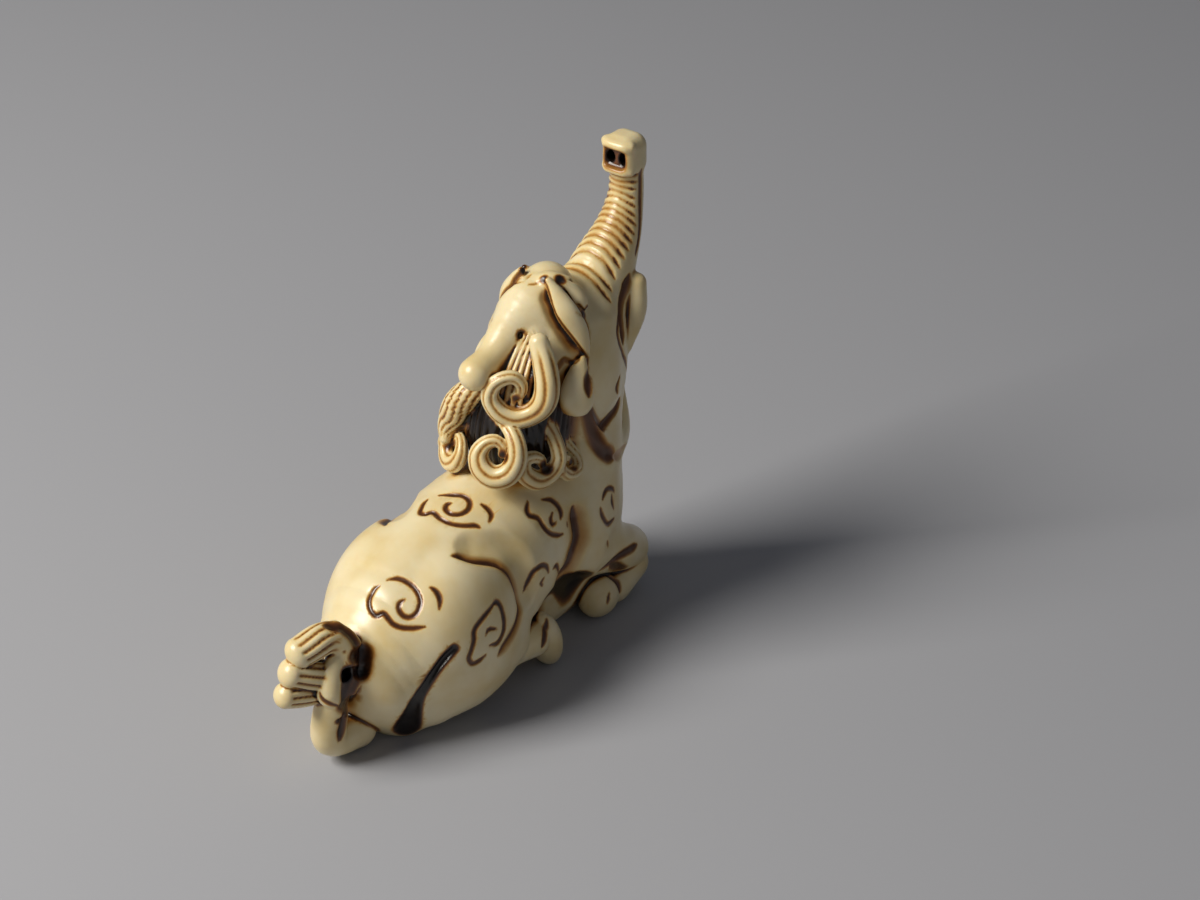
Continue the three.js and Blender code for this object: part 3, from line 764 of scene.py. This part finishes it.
def cut_base(clay):
    """The flat underside, with the two mouths of the cord channel."""
    channel = [(-7, 0, -2, 1.4), (-7, 0, 1.5, 1.4), (-2, 0, 5, 1.4), (3, 0, 1.5, 1.4), (3, 0, -2, 1.4)]
    limb(clay, channel, steps=20, blend=0.4, carve=True, dirt=0.7)
    cells, (_, _, z) = clay.window(BLOCK_LOW, BLOCK_HIGH)
    clay.remove(cells, z + np.zeros(clay.shape, np.float32), 0.3)


# ------------------------------------------------------------------ from clay to mesh


CUT_REACH = 0.4  # how far the hollow of a graver's cut reaches
FOLD_REACH = 1.4  # and that of a fold between limbs


def blur(values, radius):
    """Means over boxes of the grid, one axis after the other."""
    n = max(1, int(round(radius / CELL)))
    for axis in range(3):
        padded = np.pad(values, [(n + 1, n) if i == axis else (0, 0) for i in range(3)], mode="edge")
        sums = np.cumsum(padded, axis=axis, dtype=np.float64)
        first = [slice(None)] * 3
        last = [slice(None)] * 3
        first[axis], last[axis] = slice(0, -2 * n - 1), slice(2 * n + 1, None)
        values = ((sums[tuple(last)] - sums[tuple(first)]) / (2 * n + 1)).astype(np.float32)
    return values


def apply_modifiers(piece):
    graph = bpy.context.evaluated_depsgraph_get()
    done = bpy.data.meshes.new_from_object(piece.evaluated_get(graph))
    piece.modifiers.clear()
    piece.data = done


def mesh_of(clay, name):
    """The surface of the clay as one mesh, with what the finish needs stored on its points."""
    grid = openvdb.FloatGrid(FAR)
    grid.copyFromArray(np.clip(clay.field, -FAR, FAR))
    points, quads = grid.convertToQuads(isovalue=0)
    mesh = bpy.data.meshes.new(name)
    mesh.vertices.add(len(points))
    mesh.vertices.foreach_set("co", (points * CELL + BLOCK_LOW).ravel())
    mesh.loops.add(4 * len(quads))
    mesh.loops.foreach_set("vertex_index", quads.ravel())
    mesh.polygons.add(len(quads))
    mesh.polygons.foreach_set("loop_start", np.arange(0, 4 * len(quads), 4))
    mesh.update(calc_edges=True)
    piece = bpy.data.objects.new(name, mesh)
    bpy.context.scene.collection.objects.link(piece)
    if 2 * len(quads) > MOST_TRIANGLES:
        thin = piece.modifiers.new("thin", "DECIMATE")
        thin.ratio = MOST_TRIANGLES / (2 * len(quads))
        apply_modifiers(piece)
    finish_mesh(clay, piece.data)
    return piece


def finish_mesh(clay, mesh):
    """Reads stain, hollows and smooth normals from the clay, and turns millimetres to metres."""
    places = np.empty(3 * len(mesh.vertices))
    mesh.vertices.foreach_get("co", places)
    places = places.reshape(-1, 3)
    solid = np.clip(0.5 - clay.field / CELL, 0, 1)
    layers = {
        "stain": clay.sample(clay.stain, places),
        "narrow_hollow": clay.sample(blur(solid, CUT_REACH), places),
        "wide_hollow": clay.sample(blur(solid, FOLD_REACH), places),
    }
    for name, values in layers.items():
        layer = mesh.attributes.new(name, "FLOAT", "POINT")
        layer.data.foreach_set("value", values.astype(np.float32))
    mesh.vertices.foreach_set("co", (places * MM + ORIGIN).ravel())
    mesh.update()
    mesh.shade_smooth()
    mesh.normals_split_custom_set_from_vertices(clay.slope(places))


# ------------------------------------------------------------------ materials


def linear(code):
    """An sRGB hex colour as linear RGBA."""
    parts = [int(code[i : i + 2], 16) / 255 for i in (1, 3, 5)]
    return (*[c / 12.92 if c <= 0.04045 else ((c + 0.055) / 1.055) ** 2.4 for c in parts], 1.0)


def add_node(tree, kind, inputs=(), **settings):
    """Adds a node, sets its properties, and gives each input socket a value or a link."""
    node = tree.nodes.new(kind)
    for key, value in settings.items():
        setattr(node, key, value)
    for socket, source in dict(inputs).items():
        if isinstance(source, bpy.types.NodeSocket):
            tree.links.new(source, node.inputs[socket])
        else:
            node.inputs[socket].default_value = source
    return node


def set_stops(ramp, stops):
    """Colours along a ramp, as {position: hex}."""
    elements = ramp.color_ramp.elements
    while len(elements) < len(stops):
        elements.new(0.5)
    for element, (position, code) in zip(elements, stops.items()):
        element.position = position
        element.color = linear(code)


BLOTCHES_PER_METRE = 260.0  # one about every 4 mm


def aged_ivory():
    """Elephant ivory, carved, polished by handling, with stain left in the cuts.

    It looks cream with a soft shine, honey brown where stain thins out, near black in the cuts."""
    material = bpy.data.materials.new("aged_polished_ivory")
    material.use_nodes = True
    tree = material.node_tree
    shader = tree.nodes["Principled BSDF"]
    # the stain layer holds real stain, and over the mane's hair painted shade as well
    stain = add_node(tree, "ShaderNodeAttribute", attribute_name="stain").outputs["Fac"]
    narrow = add_node(tree, "ShaderNodeAttribute", attribute_name="narrow_hollow").outputs["Fac"]
    wide = add_node(tree, "ShaderNodeAttribute", attribute_name="wide_hollow").outputs["Fac"]
    place = add_node(tree, "ShaderNodeTexCoord").outputs["Object"]
    noise = {"Vector": place, "Scale": BLOTCHES_PER_METRE, "Detail": 3.0}
    blotches = add_node(tree, "ShaderNodeTexNoise", noise).outputs["Fac"]

    def levels(value, low, high, most):
        ends = {"Value": value, "From Min": low, "From Max": high, "To Max": most}
        return add_node(tree, "ShaderNodeMapRange", ends).outputs["Result"]

    def combined(one, other, operation, **more):
        return add_node(tree, "ShaderNodeMath", {0: one, 1: other}, operation=operation, **more).outputs[0]

    fine_hollow = levels(narrow, 0.55, 0.78, 0.9)
    broad_hollow = levels(wide, 0.56, 0.84, 0.8)
    hollows = combined(fine_hollow, broad_hollow, "ADD")
    cloudy = levels(blotches, 0.35, 0.75, 0.14)
    soaked = combined(hollows, stain, "MAXIMUM")
    total = combined(soaked, cloudy, "ADD", use_clamp=True)
    ramp = add_node(tree, "ShaderNodeValToRGB", {"Fac": total})
    set_stops(
        ramp,
        {0.0: "#EBDCB4", 0.14: "#E0C88E", 0.32: "#B8853E", 0.55: "#6E3F18", 0.8: "#30190B", 1.0: "#150C07"},
    )
    tree.links.new(ramp.outputs["Color"], shader.inputs["Base Color"])
    shader.inputs["Roughness"].default_value = 0.3
    shader.inputs["IOR"].default_value = 1.54
    shader.inputs["Subsurface Weight"].default_value = 0.25
    shader.inputs["Subsurface Radius"].default_value = (1.0, 0.7, 0.4)
    shader.inputs["Subsurface Scale"].default_value = 0.0006
    return material


# ------------------------------------------------------------------ the piece


def carved_clay():
    """The whole beast in clay, the large forms first."""
    clay = Clay()
    shape_body(clay)
    for side in SIDES:
        shape_hind_leg(clay, side)
        shape_fore_leg(clay, side)
    shape_skull(clay)
    for side in SIDES:
        shape_face(clay, side)
    shape_trunk(clay)
    shape_mouth(clay)
    for side in SIDES:
        shape_leaves(clay, side)
        score_face(clay, side)
    score_skull(clay)
    score_trunk(clay)
    score_body(clay)
    engrave_clouds(clay)
    shape_mane(clay)
    shape_tail(clay)
    cut_base(clay)
    return clay


def netsuke():
    piece = mesh_of(carved_clay(), "netsuke_carving")
    piece.data.materials.append(aged_ivory())
    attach(piece, "root")
    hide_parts("netsuke")
    return piece


netsuke()

# ------------------------------------------------------------------ stage, light and camera


def floor():
    size = 2.0
    mesh = bpy.data.meshes.new("floor")
    corners = [(-size, -size), (size, -size), (size, size), (-size, size)]
    mesh.from_pydata([(x, y, CAD_LOW[2]) for x, y in corners], [], [(0, 1, 2, 3)])
    ground = bpy.data.objects.new("floor", mesh)
    bpy.context.scene.collection.objects.link(ground)
    card = bpy.data.materials.new("grey_card")
    card.use_nodes = True
    shader = card.node_tree.nodes["Principled BSDF"]
    shader.inputs["Base Color"].default_value = linear("#A9AAB0")
    shader.inputs["Roughness"].default_value = 0.7
    mesh.materials.append(card)


def looking_back(azimuth, elevation):
    """Unit vector from the carving towards someone at that azimuth and elevation, in degrees."""
    a, e = math.radians(azimuth), math.radians(elevation)
    return Vector((math.sin(a) * math.cos(e), -math.cos(a) * math.cos(e), math.sin(e)))


def softbox(name, azimuth, elevation, distance, size, power, colour):
    """A square area light that looks at the carving."""
    back = looking_back(azimuth, elevation)
    lamp = bpy.data.lights.new(name, "AREA")
    lamp.size = size
    lamp.energy = power
    lamp.color = linear(colour)[:3]
    box = bpy.data.objects.new(name, lamp)
    box.location = back * distance
    box.rotation_mode = "QUATERNION"
    box.rotation_quaternion = (-back).to_track_quat("-Z", "Y")
    bpy.context.scene.collection.objects.link(box)


CAMERA_AZIMUTH = -52
CAMERA_ELEVATION = 32
CAMERA_DISTANCE = 260  # millimetres to the point it looks at
CAMERA_AIM = (14.98, -2.46, 16.47)  # in the carver's frame
LENS = 80.3


def camera():
    back = looking_back(CAMERA_AZIMUTH, CAMERA_ELEVATION)
    eye = bpy.data.objects.new("camera", bpy.data.cameras.new("camera"))
    eye.data.lens = LENS
    eye.data.clip_start = 0.01
    eye.location = Vector(np.array(CAMERA_AIM) * MM + ORIGIN) + back * CAMERA_DISTANCE * MM
    eye.rotation_mode = "QUATERNION"
    eye.rotation_quaternion = (-back).to_track_quat("-Z", "Y")
    bpy.context.scene.collection.objects.link(eye)
    bpy.context.scene.camera = eye


bpy.context.scene.view_settings.view_transform = "Standard"
floor()
softbox("window", azimuth=-122, elevation=44, distance=0.5, size=0.22, power=2.8, colour="#FFFBF2")
softbox("fill", azimuth=-20, elevation=35, distance=0.6, size=0.5, power=0.1, colour="#F2F4FF")
camera()
world = bpy.data.worlds.new("room")
world.use_nodes = True
dim_room = world.node_tree.nodes["Background"]
dim_room.inputs["Color"].default_value = linear("#D8DCE4")
dim_room.inputs["Strength"].default_value = 0.13
bpy.context.scene.world = world
